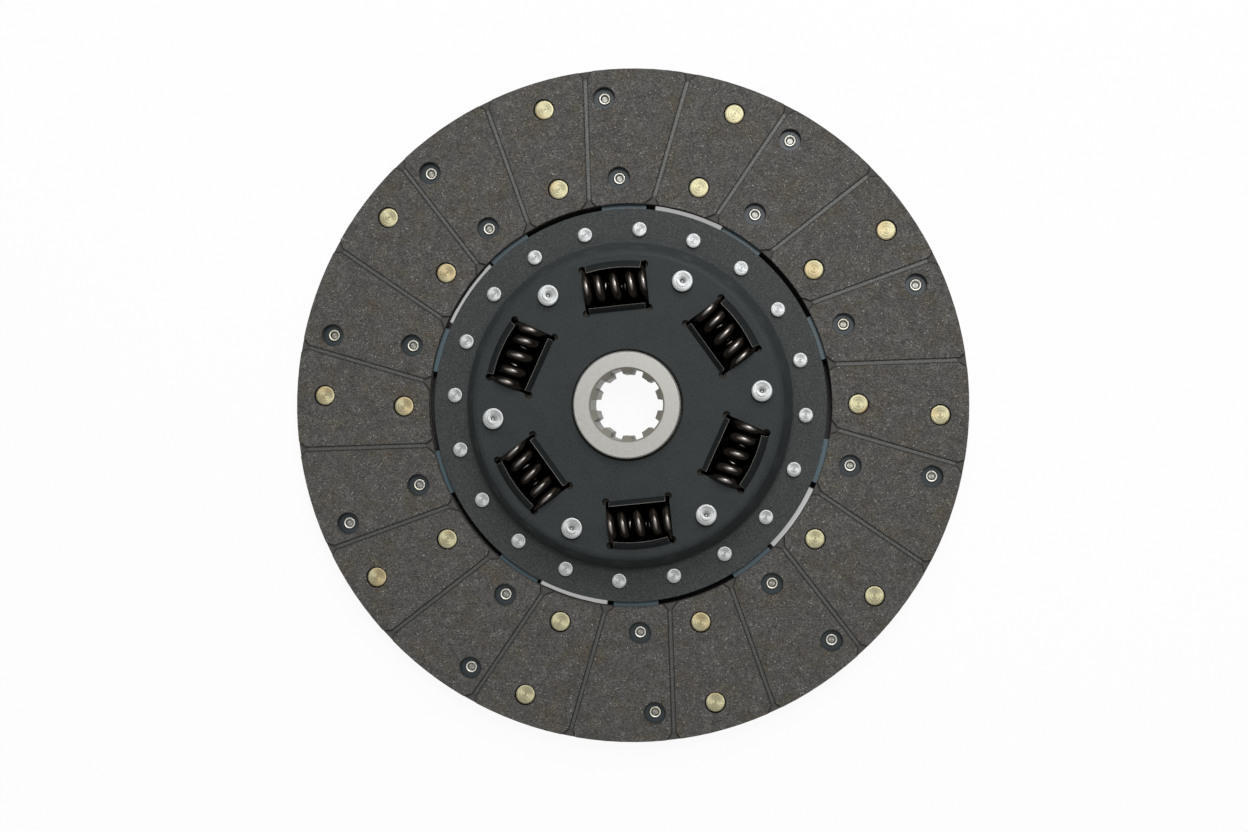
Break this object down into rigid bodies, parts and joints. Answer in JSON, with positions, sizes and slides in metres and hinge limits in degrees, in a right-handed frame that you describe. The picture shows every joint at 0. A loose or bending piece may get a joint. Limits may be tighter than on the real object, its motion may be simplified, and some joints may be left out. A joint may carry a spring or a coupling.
{
  "type": "clutch disc",
  "caption": "Dry clutch disc: riveted friction facings with skewed grooves on a dished plate, round a splined hub that turns against coil springs in the plate's windows.",
  "frame": {"origin": "centre of the hub's lower end face, on the axis, on which the disc rests", "axes": "+Z along the hub's axis, out of the side with the dished plate; +X through a tooth space of the bore's splines"},
  "size_m": [0.3302, 0.3302, 0.034],
  "materials": {
    "lining": "moulded friction lining, matt",
    "blued_plate": "dark hardened steel sheet, satin",
    "blued_spring_steel": "blued spring steel",
    "machined_steel": "turned and ground steel",
    "zinc_steel": "bright plated steel",
    "brass_rivet": "plain brass, satin",
    "spring_steel": "oil-hardened spring wire, glossy black",
    "friction_washer": "moulded friction ring"
  },
  "bodies": {
    "disc": {"drive_plate": "blued_plate", "retainer_plate": "blued_plate", "stop_pins": "zinc_steel", "plate_rivets": "zinc_steel", "front_facing": "lining", "rear_facing": "lining", "front_facing_rivets": "brass_rivet", "rear_facing_rivets": "brass_rivet", "front_friction_washer": "friction_washer", "rear_friction_washer": "friction_washer", "wave_washer": "spring_steel", "cushion_paddle_1": "blued_spring_steel", "cushion_paddle_2": "blued_spring_steel", "cushion_paddle_3": "blued_spring_steel", "cushion_paddle_4": "blued_spring_steel", "cushion_paddle_5": "blued_spring_steel", "cushion_paddle_6": "blued_spring_steel", "cushion_paddle_7": "blued_spring_steel", "cushion_paddle_8": "blued_spring_steel", "cushion_paddle_9": "blued_spring_steel", "cushion_paddle_10": "blued_spring_steel", "damper_spring_1": "spring_steel", "damper_spring_2": "spring_steel", "damper_spring_3": "spring_steel", "damper_spring_4": "spring_steel", "damper_spring_5": "spring_steel", "damper_spring_6": "spring_steel", "inner_spring_1": "spring_steel", "inner_spring_2": "spring_steel", "inner_spring_3": "spring_steel", "inner_spring_4": "spring_steel", "inner_spring_5": "spring_steel", "inner_spring_6": "spring_steel"},
    "hub_body": {"hub": "machined_steel"}
  },
  "joints": [
    {"name": "damper_twist", "type": "hinge", "parent": "disc", "child": "hub_body", "pos_m": [0, 0, 0.022], "axis": [0, 0, 1], "range_deg": [-3.5, 3.5], "stiffness_Nm_per_rad": 18900, "deforming": ["damper_spring_1", "damper_spring_2", "damper_spring_3", "damper_spring_4", "damper_spring_5", "damper_spring_6", "inner_spring_1", "inner_spring_2", "inner_spring_3", "inner_spring_4", "inner_spring_5", "inner_spring_6"]}
  ]
}
